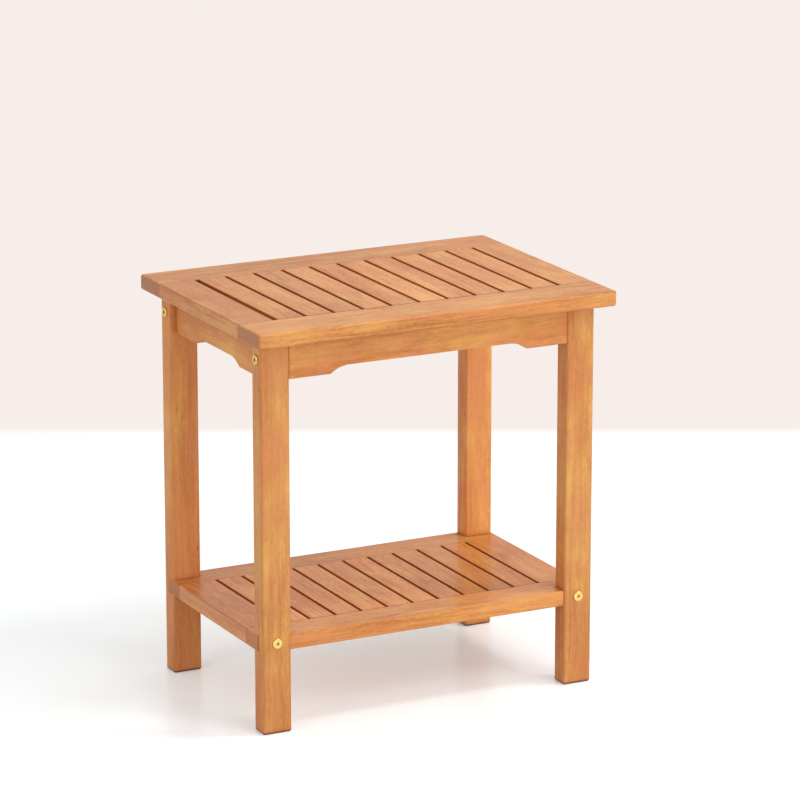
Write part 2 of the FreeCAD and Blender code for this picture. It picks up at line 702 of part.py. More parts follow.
def bolts_and_nuts():
    """Bolts through the legs' outer faces into the long aprons, and through their front and back faces."""
    apron_bolts, apron_nuts, shelf_bolts, shelf_nuts = [], [], [], []
    for side_x, side_y in CORNERS:
        corner = corner_name(side_x, side_y)
        leg_y = f"{side_y} * leg_centre_y"
        leg_x = f"{side_x} * leg_centre_x"
        head_x = f"{side_x} * (leg_centre_x + leg_width / 2)"
        head_y = f"{side_y} * (leg_centre_y + leg_depth / 2)"
        apron_nut_x = f"{side_x} * (leg_gap_x / 2 - apron_nut_inset)"
        apron_bolts.append(connector_bolt(
            f"{corner}_apron_bolt", "apron_bolt_length", (head_x, leg_y, "apron_bolt_z"),
            point_z_along(side_x, 0, 0)))
        apron_nuts.append(barrel_nut(
            f"{corner}_apron_nut", (apron_nut_x, leg_y, "apron_bolt_z"), point_z_along(0, side_y, 0)))
        shelf_bolts.append(connector_bolt(
            f"{corner}_shelf_bolt", "shelf_bolt_length", (leg_x, head_y, "shelf_bolt_z"),
            point_z_along(0, side_y, 0)))
        shelf_nuts.append(barrel_nut(
            f"{corner}_shelf_nut", (leg_x, f"{side_y} * shelf_nut_y", "shelf_bolt_z"), about_z(90)))
    group("apron_bolts", apron_bolts)
    group("apron_barrel_nuts", apron_nuts)
    group("shelf_bolts", shelf_bolts)
    group("shelf_barrel_nuts", shelf_nuts)


def dowel(name, leg_reach, spot, into_apron):
    """Dowel whose own origin lies where leg and apron meet; its Z axis points into the apron."""
    radius, tip = "dowel_diameter / 2", "dowel_diameter / 2 - dowel_chamfer"
    outline = [
        ("0", f"-({leg_reach})"), (tip, f"-({leg_reach})"), (radius, f"dowel_chamfer - ({leg_reach})"),
        (radius, "dowel_reach - dowel_chamfer"), (tip, "dowel_reach"), ("0", "dowel_reach")]
    return turned_body(name, outline, spot, into_apron)


def dowels():
    """Two dowels at each end of every apron."""
    long_dowels, side_dowels = [], []
    for side_x, side_y in CORNERS:
        corner = corner_name(side_x, side_y)
        into_long_apron = point_z_along(-side_x, 0, 0)
        into_side_apron = point_z_along(0, -side_y, 0)
        for count, drop in enumerate(DOWEL_DROPS, 1):
            height = f"top_underside - {drop}"
            long_spot = (f"{side_x} * leg_gap_x / 2", f"{side_y} * long_apron_y", height)
            side_spot = (f"{side_x} * side_apron_x", f"{side_y} * leg_gap_y / 2", height)
            long_dowels.append(dowel(
                f"{corner}_long_dowel_{count}", "long_dowel_leg_reach", long_spot, into_long_apron))
            side_dowels.append(dowel(
                f"{corner}_side_dowel_{count}", "dowel_reach", side_spot, into_side_apron))
    group("long_apron_dowels", long_dowels)
    group("side_apron_dowels", side_dowels)


def wood_screw(name, spot):
    """Pan-headed wood screw, driven upwards; its Z axis points from the head to the tip."""
    shank, head = "screw_diameter / 2", "screw_head_diameter / 2"
    outline = [
        ("0", "-screw_head_thickness"), (f"{head} - screw_head_chamfer", "-screw_head_thickness"),
        (head, "screw_head_chamfer - screw_head_thickness"), (head, "0"), (shank, "0"),
        (shank, "screw_length - screw_tip_length"), ("0", "screw_length")]
    body = turned_body(name, outline, spot, FreeCAD.Rotation())
    for count, sizes in enumerate((("screw_recess_length", "screw_recess_width"),
                                   ("screw_recess_width", "screw_recess_length")), 1):
        slot = rectangle(body, f"RecessSketch{count}", "XY_Plane", *sizes, z="-screw_head_thickness")
        pocket(body, f"Recess{count}", slot, "2 * screw_recess_depth")
    return body


def top_screws():
    """Two screws up through every apron into the top."""
    screws = []
    height = "apron_base + arch_rise + counterbore_depth"
    for side_x, side_y in CORNERS:
        corner = corner_name(side_x, side_y)
        long_spot = (f"{side_x} * long_apron_screw_offset", f"{side_y} * long_apron_y", height)
        side_spot = (f"{side_x} * side_apron_x", f"{side_y} * side_apron_screw_offset", height)
        screws.append(wood_screw(f"{corner}_long_screw", long_spot))
        screws.append(wood_screw(f"{corner}_side_screw", side_spot))
    group("top_screws", screws)


def check_model():
    """Stop if an object failed, a cut took nothing away or a piece isn't a sound solid."""
    doc.recompute()
    failed = [item.Name for item in doc.Objects if {"Invalid", "Error"} & set(item.State)]
    if failed:
        raise RuntimeError("failed objects: " + ", ".join(failed))
    for before, after in cuts:
        if not after.Shape.Volume < before.Shape.Volume:
            raise RuntimeError(after.getParent().Label + ": " + after.Label + " takes nothing away")
    for piece in pieces:
        if piece.Shape.isNull() or not piece.Shape.isValid():
            raise RuntimeError(piece.Label + " isn't a sound shape")


def write_pieces():
    os.makedirs("parts", exist_ok=True)
    for piece in pieces:
        piece.Shape.exportStep(os.path.join("parts", piece.Label + ".step"))


fill_sheet()
slatted_frame("top")
slatted_frame("shelf")
for leg_side_x, leg_side_y in CORNERS:
    leg(leg_side_x, leg_side_y)
for apron_side in (FRONT, BACK):
    long_apron(apron_side)
for apron_side in (LEFT, RIGHT):
    side_apron(apron_side)
bolts_and_nuts()
dowels()
top_screws()
check_model()
write_pieces()
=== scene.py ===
import json
import math
import random

import bpy
from mathutils import Euler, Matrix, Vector


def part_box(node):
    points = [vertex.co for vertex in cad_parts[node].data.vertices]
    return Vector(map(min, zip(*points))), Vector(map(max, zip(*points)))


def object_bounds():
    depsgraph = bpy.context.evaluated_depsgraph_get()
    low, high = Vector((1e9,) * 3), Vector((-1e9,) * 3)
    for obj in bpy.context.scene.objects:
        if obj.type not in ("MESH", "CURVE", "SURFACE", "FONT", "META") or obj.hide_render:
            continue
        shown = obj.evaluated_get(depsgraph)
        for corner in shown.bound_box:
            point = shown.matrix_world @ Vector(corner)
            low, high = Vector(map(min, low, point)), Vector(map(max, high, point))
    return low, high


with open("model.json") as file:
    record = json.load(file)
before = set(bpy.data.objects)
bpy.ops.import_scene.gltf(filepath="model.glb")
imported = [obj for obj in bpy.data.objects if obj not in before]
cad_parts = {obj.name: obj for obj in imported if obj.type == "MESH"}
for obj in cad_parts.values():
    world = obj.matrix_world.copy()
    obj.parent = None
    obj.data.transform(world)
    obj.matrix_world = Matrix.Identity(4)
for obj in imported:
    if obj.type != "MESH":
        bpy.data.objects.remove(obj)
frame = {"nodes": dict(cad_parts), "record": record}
cad_low, cad_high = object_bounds()

# The table stands on z = 0 with its length along X and its front towards -Y.  Lengths are in metres, and
# the wood's node groups work in millimetres.
MM = 0.001
TABLE_MIDDLE = (cad_low + cad_high) / 2

# ---------------------------------------------------------------------------------------------- camera
CAMERA_PLACE = Vector((-2.368, -4.704, 1.791))
CAMERA_TURN = math.radians(27.04)
CAMERA_DIP = math.radians(15.13)
CAMERA_LENS = 193.3


def make_camera():
    data = bpy.data.cameras.new("camera")
    data.lens = CAMERA_LENS
    camera = bpy.data.objects.new("camera", data)
    camera.location = CAMERA_PLACE
    camera.rotation_euler = Euler((math.pi / 2 - CAMERA_DIP, 0, -CAMERA_TURN))
    bpy.context.scene.collection.objects.link(camera)
    bpy.context.scene.camera = camera


# ----------------------------------------------------------------------------------------- node helpers
class Graph:
    """Adds nodes to a material or a node group; an input is a number, a colour or another node's output."""

    def __init__(self, tree):
        self.tree = tree

    def feed(self, socket, value):
        if isinstance(value, bpy.types.NodeSocket):
            self.tree.links.new(value, socket)
        else:
            socket.default_value = value

    def add(self, kind, inputs=None, **settings):
        node = self.tree.nodes.new("ShaderNode" + kind)
        for name, value in settings.items():
            setattr(node, name, value)
        for key, value in (inputs or {}).items():
            self.feed(node.inputs[key], value)
        return node

    def math(self, operation, *values, clamp=False):
        node = self.add("Math", operation=operation, use_clamp=clamp)
        for socket, value in zip(node.inputs, values):
            self.feed(socket, value)
        return node.outputs[0]

    def vector_math(self, operation, *values):
        node = self.add("VectorMath", operation=operation)
        for socket, value in zip(node.inputs, values):
            self.feed(socket, value)
        return node.outputs["Value" if operation == "DOT_PRODUCT" else "Vector"]

    def mix(self, factor, first, second):
        node = self.add("Mix", data_type="RGBA", clamp_factor=True)
        for index, value in ((0, factor), (6, first), (7, second)):
            self.feed(node.inputs[index], value)
        return node.outputs[2]

    def remap(self, value, low, high, to_low=0.0, to_high=1.0, smooth=False):
        ends = {"From Min": low, "From Max": high, "To Min": to_low, "To Max": to_high}
        course = "SMOOTHSTEP" if smooth else "LINEAR"
        node = self.add("MapRange", {"Value": value, **ends}, interpolation_type=course)
        return node.outputs["Result"]

    def point(self, x, y, z):
        return self.add("CombineXYZ", {"X": x, "Y": y, "Z": z}).outputs[0]

    def noise(self, place, scale=1.0, detail=2.0, roughness=0.5):
        node = self.add(
            "TexNoise", {"Vector": place, "Scale": scale, "Detail": detail, "Roughness": roughness})
        return node.outputs[0]


def node_group(name, inputs, outputs):
    """Empty node group with named sockets, its graph, its inputs and its output node."""
    tree = bpy.data.node_groups.new(name, "ShaderNodeTree")
    for socket_name, kind, default in inputs:
        socket = tree.interface.new_socket(socket_name, in_out="INPUT", socket_type="NodeSocket" + kind)
        if default is not None:
            socket.default_value = default
    for socket_name, kind in outputs:
        tree.interface.new_socket(socket_name, in_out="OUTPUT", socket_type="NodeSocket" + kind)
    graph = Graph(tree)
    given = tree.nodes.new("NodeGroupInput").outputs
    made = tree.nodes.new("NodeGroupOutput").inputs
    return tree, graph, given, made


def place_group(graph, tree, inputs=None):
    node = graph.tree.nodes.new("ShaderNodeGroup")
    node.node_tree = tree
    for key, value in (inputs or {}).items():
        graph.feed(node.inputs[key], value)
    return node.outputs


# ------------------------------------------------------------------------------------------ wood groups
# How squarely a face has to lie across the grain before it shows end wood, and when it shows nothing else.
END_WOOD_FACING = (0.75, 0.95)
# How far in from a board's edges its colour darkens.
EDGE_WIDTH = 2.5
# The pith line wanders slowly along the board, differently in its two directions, and the rings ripple.
WANDER_PITCH, SECOND_WANDER = 0.006, 31.7
RIPPLE_PITCH, RIPPLE_HEIGHT = (0.014, 0.07, 0.07), 13.0
# Each board's fibres and knots start further along, by its seed times these.
FIBRE_STRIDE, KNOT_STRIDE = 97.0, 53.0
# The grid whose cells hold a pin knot or none.
KNOT_CELL = (46.0, 17.0, 17.0)
# Noise lies nearly always between these.
NOISE_LOW, NOISE_HIGH = 0.3, 0.7


def board_space_group():
    """Where a point lies in its own board, in millimetres: along the grain, across it and through it."""
    tree, g, _, made = node_group(
        "board space", [], [("Place", "Vector"), ("End Grain", "Float"), ("Edge", "Float")])
    coordinates = g.add("TexCoord").outputs

    def own(name):
        return g.add("Attribute", attribute_type="OBJECT", attribute_name=name).outputs["Vector"]
    along, across, half = own("grain_along"), own("grain_across"), own("board_half")
    through = g.vector_math("CROSS_PRODUCT", along, across)
    offset = g.vector_math("SUBTRACT", coordinates["Object"], own("board_middle"))
    offset_mm = g.vector_math("SCALE", offset)
    offset_mm.node.inputs["Scale"].default_value = 1 / MM
    place = g.point(*(g.vector_math("DOT_PRODUCT", offset_mm, axis) for axis in (along, across, through)))
    facing = g.math("ABSOLUTE", g.vector_math("DOT_PRODUCT", coordinates["Normal"], along))
    # The distances to the three pairs of faces: the middle one says how near the closest edge is.
    reach = g.vector_math("SUBTRACT", half, g.vector_math("ABSOLUTE", place))
    parts = g.add("SeparateXYZ", {"Vector": reach}).outputs
    low = g.math("MINIMUM", parts[0], parts[1])
    high = g.math("MAXIMUM", parts[0], parts[1])
    middle = g.math("MAXIMUM", low, g.math("MINIMUM", high, parts[2]))
    g.feed(made["Place"], place)
    g.feed(made["End Grain"], g.remap(facing, *END_WOOD_FACING))
    g.feed(made["Edge"], g.remap(middle, 0.0, EDGE_WIDTH, 1.0, 0.0))
    return tree


def growth_rings_group():
    """Rings about a pith line beside the board, which show as lines or arches on its faces."""
    tree, g, given, made = node_group(
        "growth rings",
        [("Place", "Vector", None), ("Pith", "Vector", None), ("Seed", "Float", 0.0),
         ("Spacing", "Float", 9.0), ("Wander", "Float", 26.0)],
        [("Ring", "Float"), ("Band", "Float")])
    place = g.add("SeparateXYZ", {"Vector": given["Place"]}).outputs
    pith = g.add("SeparateXYZ", {"Vector": given["Pith"]}).outputs
    wanders = []
    for shift in (0.0, SECOND_WANDER):
        start = g.math("ADD", given["Seed"], shift)
        line = g.point(g.math("MULTIPLY", place[0], WANDER_PITCH), start, shift)
        centred = g.math("SUBTRACT", g.noise(line, detail=1.5), 0.5)
        wanders.append(g.math("MULTIPLY", centred, given["Wander"]))
    radii = [
        g.math("ADD", g.math("SUBTRACT", place[axis], pith[axis]), wander)
        for axis, wander in zip((1, 2), wanders)]
    squares = [g.math("MULTIPLY", side, side) for side in radii]
    radius = g.math("SQRT", g.math("ADD", *squares))
    ripple_place = g.vector_math("MULTIPLY", given["Place"], RIPPLE_PITCH)
    ripple_place = g.vector_math("ADD", ripple_place, g.point(given["Seed"], 0.0, 0.0))
    ripple = g.math("MULTIPLY", g.noise(ripple_place, detail=2.5), RIPPLE_HEIGHT)
    turns = g.math("DIVIDE", g.math("ADD", radius, ripple), given["Spacing"])
    ramp = g.add("ValToRGB", {"Fac": g.math("FRACT", turns)})
    ramp.color_ramp.interpolation = "EASE"
    stops = ramp.color_ramp.elements
    stops[0].color = (0.0, 0.0, 0.0, 1.0)
    stops[1].color = (0.0, 0.0, 0.0, 1.0)
    for position, level in ((0.5, 0.25), (0.8, 1.0)):
        stops.new(position).color = (level, level, level, 1.0)
    along = g.math("MULTIPLY", place[0], 0.004)
    band = g.noise(g.point(g.math("MULTIPLY", turns, 0.37), given["Seed"], along), detail=1.5)
    # Some years left a plain line and others hardly any.
    strength = g.remap(band, 0.38, 0.62, 0.15, 1.0)
    g.feed(made["Ring"], g.math("MULTIPLY", ramp.outputs["Color"], strength))
    g.feed(made["Band"], band)
    return tree


def fibres_group():
    """Long fibres, short dark pores and slow drifts of colour along a board."""
    tree, g, given, made = node_group(
        "fibres", [("Place", "Vector", None), ("Seed", "Float", 0.0)],
        [(name, "Float") for name in ("Fibre", "Thread", "Mottle", "Pore", "Fleck", "Drift", "Cloud")])
    start = g.point(g.math("MULTIPLY", given["Seed"], FIBRE_STRIDE), 0.0, 0.0)
    place = g.vector_math("ADD", given["Place"], start)

    def streaks(length, width, detail, roughness=0.5):
        return g.noise(
            g.vector_math("MULTIPLY", place, (1 / length, 1 / width, 1 / width)), detail=detail,
            roughness=roughness)
    g.feed(made["Fibre"], streaks(90.0, 4.5, 3.0, 0.55))
    g.feed(made["Thread"], streaks(30.0, 0.9, 3.0, 0.6))
    g.feed(made["Mottle"], streaks(7.0, 2.8, 2.0, 0.6))
    g.feed(made["Pore"], g.remap(streaks(7.0, 0.4, 1.0), 0.60, 0.76, smooth=True))
    fleck_field = g.remap(streaks(60.0, 14.0, 1.0), 0.45, 0.62, smooth=True)
    flecks = g.remap(streaks(13.0, 0.9, 1.0), 0.66, 0.76, smooth=True)
    g.feed(made["Fleck"], g.math("MULTIPLY", flecks, fleck_field))
    g.feed(made["Drift"], streaks(230.0, 34.0, 2.0))
    g.feed(made["Cloud"], streaks(48.0, 26.0, 2.5, 0.55))
    return tree


def pin_knots_group():
    """A few small knots: most cells of a coarse grid along the board stay empty."""
    tree, g, given, made = node_group(
        "pin knots", [("Place", "Vector", None), ("Seed", "Float", 0.0), ("Share", "Float", 0.12)],
        [("Knot", "Float")])
    start = g.point(g.math("MULTIPLY", given["Seed"], KNOT_STRIDE), 0.0, 0.0)
    place = g.vector_math("ADD", given["Place"], start)
    place = g.vector_math("MULTIPLY", place, tuple(1 / side for side in KNOT_CELL))
    cells = g.add("TexVoronoi", {"Vector": place, "Scale": 1.0, "Randomness": 0.9})
    chance = g.add("SeparateColor", {"Color": cells.outputs["Color"]}).outputs[0]
    chosen = g.math("LESS_THAN", chance, given["Share"])
    spot = g.remap(cells.outputs["Distance"], 0.02, 0.14, 1.0, 0.0, smooth=True)
    g.feed(made["Knot"], g.math("MULTIPLY", spot, chosen))
    return tree


def nooks_group():
    """How shut in a point is, from ambient occlusion: 1 deep in a slot or a seam, 0 out on a face; the mask
    for painted shade.
    """
    tree, g, given, made = node_group("nooks", [("Reach", "Float", 0.01)], [("Nook", "Float")])
    shade = g.add("AmbientOcclusion", {"Distance": given["Reach"]}, samples=8)
    g.feed(made["Nook"], g.remap(shade.outputs["AO"], 0.88, 0.32, smooth=True))
    return tree


# How far the plain wood leans to the dark colour, so that its lines come out lighter and darker than it.
MEAN_DEPTH = 0.14
# How far each kind of line leans either way from it, and how much darker a pore and a knot are.
FIBRE_DEPTH, THREAD_DEPTH, MOTTLE_DEPTH, BAND_DEPTH = 0.2, 0.15, 0.15, 0.18
PORE_DEPTH, KNOT_DEPTH = 0.2, 0.7
# How far a board's tone drifts between rosy and golden along its length, and in small clouds.
DRIFT_SWING, CLOUD_SWING = 0.75, 0.4
# Painted shade deep in a slot or a seam, in a corner, under the top and by the floor, and how near other
# wood or the floor has to be to shut a point in.
PAINTED_NOOK_SHADE = (0.34, 0.055, 0.001, 1)
WOOD_NOOK_REACH = 12 * MM
# The dark line at a board's shoulder, partly a dark joint and partly painted shade at a slat's ends, and
# painted shade at a leg's foot: full up to the first distance inside it, and gone at the second.
SEAM_SHADE = (0.09, 0.03, 0.01, 1)
SEAM_FADE = (0.3, 2.6)


def oiled_board_group(nooks):
    """Colour, roughness and height of an oiled hardwood board, from the board's tone and warmth; its colour
    also holds painted shade in nooks, along a slat's seam and at a leg's foot, and some boards' tones hold
    painted light and shade.
    """
    space, rings, fibres, knots = (
        board_space_group(), growth_rings_group(), fibres_group(), pin_knots_group())
    tree, g, given, made = node_group(
        "oiled board",
        [("Golden", "Color", (0.8, 0.35, 0.08, 1)), ("Rosy", "Color", (0.7, 0.27, 0.07, 1)),
         ("Pink", "Color", (0.75, 0.3, 0.1, 1)), ("Dark", "Color", (0.4, 0.1, 0.002, 1)),
         ("End Wood", "Color", (0.45, 0.25, 0.14, 1)), ("Gloss Roughness", "Float", 0.35),
         ("Grain Contrast", "Float", 1.0), ("Ring Contrast", "Float", 0.2),
         ("Fleck Contrast", "Float", 0.2), ("Knot Share", "Float", 0.1), ("Nook Shade", "Float", 0.9)],
        [("Color", "Color"), ("Roughness", "Float"), ("Height", "Float")])
    board = place_group(g, space)

    def own(name, socket="Fac"):
        return g.add("Attribute", attribute_type="OBJECT", attribute_name=name).outputs[socket]

    def total(*values):
        amount = values[0]
        for value in values[1:]:
            amount = g.math("ADD", amount, value)
        return amount

    def part(value, share):
        return g.math("MULTIPLY", value, share)

    def swing(value, amount):
        return g.remap(value, NOISE_LOW, NOISE_HIGH, -amount, amount)
    seed, tone, warmth = own("board_seed"), own("board_tone_and_light"), own("board_warmth")
    own_place = {"Place": board["Place"], "Seed": seed}
    ring = place_group(g, rings, {**own_place, "Pith": own("board_pith", "Vector")})
    fibre = place_group(g, fibres, own_place)
    knot = place_group(g, knots, {**own_place, "Share": given["Knot Share"]})["Knot"]
    # Painted shade where other wood or the floor shuts a point in: slots, seams, under the top and at the
    # feet.
    nook = place_group(g, nooks, {"Reach": WOOD_NOOK_REACH})["Nook"]
    # A fine dark seam where a slat's ends butt against the rails, partly a dark joint and partly painted
    # shade, and a painted shadow line round a leg's foot.
    shoulder = g.add("SeparateXYZ", {"Vector": own("board_shoulder", "Vector")}).outputs
    along = g.add("SeparateXYZ", {"Vector": board["Place"]}).outputs[0]
    inside = g.math("SUBTRACT", shoulder[0], g.math("ABSOLUTE", along))
    at_end = g.remap(inside, *SEAM_FADE, 1.0, 0.0)
    is_back = g.math("GREATER_THAN", along, 0.0)
    seam = g.math("MULTIPLY", at_end, g.remap(is_back, 0.0, 1.0, shoulder[1], shoulder[2]))
    # A board leans towards rosy or golden wood, and drifts between the two along its length.
    drift = total(swing(fibre["Drift"], DRIFT_SWING), swing(fibre["Cloud"], CLOUD_SWING), 1.0)
    rosy = g.math("SUBTRACT", drift, warmth, clamp=True)
    ground = g.mix(rosy, given["Golden"], given["Rosy"])
    ground = g.mix(g.remap(fibre["Cloud"], 0.42, 0.68, 0.0, 0.8), ground, given["Pink"])
    grain = total(
        swing(fibre["Fibre"], FIBRE_DEPTH), swing(fibre["Thread"], THREAD_DEPTH),
        swing(fibre["Mottle"], MOTTLE_DEPTH), swing(ring["Band"], BAND_DEPTH))
    depth = total(
        MEAN_DEPTH, part(grain, given["Grain Contrast"]), part(ring["Ring"], given["Ring Contrast"]),
        part(fibre["Pore"], PORE_DEPTH), part(fibre["Fleck"], given["Fleck Contrast"]),
        part(knot, KNOT_DEPTH))
    depth = g.math("ADD", depth, 0.0, clamp=True)
    colour = g.mix(depth, ground, given["Dark"])
    # Darker towards a board's edges.
    edge_darkening = g.math("MULTIPLY", board["Edge"], g.remap(fibre["Cloud"], 0.35, 0.65, 0.12, 0.34))
    colour = g.mix(edge_darkening, colour, given["Dark"])
    end_threads = g.remap(fibre["Thread"], 0.35, 0.7, 0.0, 0.25)
    end_marks = g.math("ADD", part(ring["Ring"], 0.35), end_threads, clamp=True)
    end_wood = g.mix(end_marks, given["End Wood"], given["Dark"])
    colour = g.mix(board["End Grain"], colour, end_wood)
    # Paints shade into the nooks.
    colour = g.mix(part(nook, given["Nook Shade"]), colour, PAINTED_NOOK_SHADE)
    # Paints the dark seam and the shadow line at a leg's foot.
    colour = g.mix(seam, colour, SEAM_SHADE)
    # The board's tone, which for some shelf boards also holds painted light and shade.
    toned = g.vector_math("SCALE", colour)
    g.feed(toned.node.inputs["Scale"], tone)
    g.feed(made["Color"], toned)
    rough = total(
        given["Gloss Roughness"], g.remap(fibre["Thread"], NOISE_LOW, NOISE_HIGH, -0.04, 0.06),
        g.remap(fibre["Cloud"], NOISE_LOW, NOISE_HIGH, -0.04, 0.05), part(fibre["Pore"], 0.12),
        part(board["End Grain"], 0.2), part(nook, 0.15))
    g.feed(made["Roughness"], g.math("ADD", rough, 0.0, clamp=True))
    height = total(part(fibre["Fibre"], 0.3), part(fibre["Thread"], 0.25), part(ring["Ring"], -0.15))
    height = g.math("SUBTRACT", height, total(part(fibre["Pore"], 0.4), part(fibre["Fleck"], 0.3)))
    g.feed(made["Height"], g.math("SUBTRACT", height, part(knot, 0.5)))
    return tree


# -------------------------------------------------------------------------------------------- materials
def new_material(name):
    material = bpy.data.materials.new(name)
    material.use_nodes = True
    material.node_tree.nodes.clear()
    return material, Graph(material.node_tree)


def finish_surface(g, shader):
    output = g.add("OutputMaterial")
    g.feed(output.inputs["Surface"], shader)


# The wood of the top and the shelf, the wood of the legs and aprons, and the colour of their lines.
DARK_WOOD = (0.40, 0.10, 0.002, 1)
FLAT_WOOD = {
    "Golden": (0.785, 0.352, 0.084, 1), "Rosy": (0.690, 0.252, 0.061, 1), "Pink": (0.735, 0.285, 0.09, 1),
    "Dark": DARK_WOOD}
UPRIGHT_WOOD = {
    "Golden": (0.800, 0.392, 0.105, 1), "Rosy": (0.690, 0.258, 0.074, 1), "Pink": (0.75, 0.30, 0.115, 1),
    "Dark": DARK_WOOD}


def oiled_wood(name, group, look, coat, coat_roughness):
    """Oiled hardwood with a thin coat; look gives the numbers and colours of the board group."""
    material, g = new_material(name)
    board = place_group(g, group, look)
    bump = g.add("Bump", {"Strength": 0.2, "Distance": 0.1 * MM, "Height": board["Height"]})
    shader = g.add("BsdfPrincipled", {
        "Base Color": board["Color"], "Roughness": board["Roughness"], "Normal": bump.outputs["Normal"],
        "IOR": 1.45, "Specular IOR Level": 0.35, "Coat Weight": coat, "Coat Roughness": coat_roughness,
        "Coat IOR": 1.45})
    finish_surface(g, shader.outputs[0])
    return material


def bare_dowel_wood():
    material, g = new_material("bare dowel wood")
    place = g.vector_math("SCALE", g.add("TexCoord").outputs["Object"])
    place.node.inputs["Scale"].default_value = 1 / MM
    fibre = g.noise(g.vector_math("MULTIPLY", place, (0.5, 0.5, 0.8)), detail=3.0)
    shader = g.add("BsdfPrincipled", {
        "Base Color": g.mix(
            g.remap(fibre, NOISE_LOW, NOISE_HIGH), (0.60, 0.40, 0.21, 1), (0.46, 0.28, 0.13, 1)),
        "Roughness": g.remap(fibre, NOISE_LOW, NOISE_HIGH, 0.55, 0.7)})
    finish_surface(g, shader.outputs[0])
    return material


METAL_NOOK_REACH = 3 * MM
# How much of the painted shade colour a recess takes on.
RECESS_SHADE_SHARE = 0.25


def turned_metal(name, nooks, bright, dull, recess_shade, roughness):
    """Plated fastener with faint marks of turning, dulled in patches, with painted shade in its recess."""
    material, g = new_material(name)
    place = g.vector_math("SCALE", g.add("TexCoord").outputs["Object"])
    place.node.inputs["Scale"].default_value = 1 / MM
    patches = g.noise(place, scale=0.35, detail=3.0)
    marks = g.noise(place, scale=2.6, detail=2.0)
    # Painted shade where nearby metal or wood shuts a point in: the hex socket and the rim of a head.
    nook = place_group(g, nooks, {"Reach": METAL_NOOK_REACH})["Nook"]
    colour = g.mix(g.remap(patches, 0.42, 0.68), bright, dull)
    shader = g.add("BsdfPrincipled", {
        "Base Color": g.mix(g.math("MULTIPLY", nook, RECESS_SHADE_SHARE), colour, recess_shade),
        "Metallic": 1.0,
        "Roughness": g.remap(marks, NOISE_LOW, NOISE_HIGH, roughness - 0.06, roughness + 0.1)})
    bump = g.add("Bump", {"Strength": 0.15, "Distance": 0.05 * MM, "Height": marks})
    g.feed(shader.inputs["Normal"], bump.outputs["Normal"])
    finish_surface(g, shader.outputs[0])
    return material


# ----------------------------------------------------------------------------------------------- boards
AXES = {"x": Vector((1, 0, 0)), "y": Vector((0, 1, 0)), "z": Vector((0, 0, 1))}
# Two axes for each kind of board: the one that its grain follows, and the one across it on its show face.
GRAIN = {"rail": "xy", "end_rail": "yx", "slat": "yx", "leg": "zx", "long_apron": "xz", "side_apron": "yz"}
# How golden a board is, from 0 for rosy wood to 1, and how light, where 1 is its finish as it stands. The
# tones of the shelf's slats 01 to 06 and its left end rail also hold painted light for the light that falls
# on the shelf's left part, and those of slats 08 and 09 painted shade for the shade across its right end.
# The boards that aren't listed draw theirs from PLAIN_WARMTH and PLAIN_TONE.
WARMTH = {
    "top_slat_05": 0.35, "top_slat_06": 1.0,
    "top_back_rail": 0.25, "top_front_rail": 0.7, "top_left_end_rail": 0.4,
    "shelf_slat_01": 0.7, "shelf_slat_04": 0.8, "shelf_slat_06": 1.0, "shelf_slat_09": 0.35,
    "shelf_slat_10": 0.25,
    "shelf_front_rail": 0.7, "shelf_left_end_rail": 0.3,
    "back_right_leg": 0.75, "front_left_leg": 0.6, "front_right_leg": 0.65,
    "front_apron": 0.95, "left_apron": 0.45}
TONES_AND_PAINTED_LIGHT = {
    "top_slat_01": 0.95, "top_slat_02": 0.95, "top_slat_03": 0.855, "top_slat_05": 1.01,
    "top_slat_06": 1.08, "top_slat_07": 0.97, "top_slat_09": 0.97, "top_slat_10": 1.02,
    "top_back_rail": 0.885, "top_front_rail": 0.935, "top_left_end_rail": 0.89,
    "top_right_end_rail": 0.93,
    "shelf_slat_01": 1.15, "shelf_slat_02": 1.16, "shelf_slat_03": 1.06, "shelf_slat_04": 1.18,
    "shelf_slat_05": 1.11, "shelf_slat_06": 1.18, "shelf_slat_07": 1.02, "shelf_slat_08": 0.91,
    "shelf_slat_09": 0.94, "shelf_slat_10": 1.06,
    "shelf_back_rail": 0.94, "shelf_left_end_rail": 1.06,
    "back_left_leg": 0.98, "back_right_leg": 1.14, "front_left_leg": 0.93, "front_right_leg": 0.93,
    "front_apron": 1.055, "left_apron": 0.96}
PLAIN_WARMTH, PLAIN_TONE = (0.42, 0.72), (0.96, 1.03)
# The pith line lies up to this far to either side of a board's middle, and between these beyond it.
PITH_ASIDE, PITH_BEYOND = 30, (18, 70)
# The boards' seeds run from 0 to the last one, and the draws themselves always start alike.
LAST_SEED = 40
DRAW_START = 7
# How strong the dark line is at the front and at the back shoulder of a slat.
SLAT_SEAMS = {"top": (0.95, 0.3), "shelf": (0.4, 0.25)}
# A leg's painted shadow line takes a shoulder this high above its foot, and is this strong.
FOOT_LINE_RISE, FOOT_LINE_STRENGTH = 1.2, 0.9


def board_kind(name):
    if name in ("front_apron", "back_apron"):
        return "long_apron"
    if name in ("left_apron", "right_apron"):
        return "side_apron"
    for kind in ("end_rail", "slat", "leg", "rail"):
        if kind in name:
            return kind
    return None


def shoulder_facts(name, half_length):
    """Where a board's dark end line lies from its middle, and how strong it is at the low and high end."""
    kind = board_kind(name)
    if kind == "slat":
        frame_name = name.split("_")[0]
        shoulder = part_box(frame_name + "_back_rail")[0].y / MM
        return [shoulder, *SLAT_SEAMS[frame_name]]
    if kind == "leg":
        return [half_length - FOOT_LINE_RISE, FOOT_LINE_STRENGTH, 0.0]
    return [half_length, 0.0, 0.0]


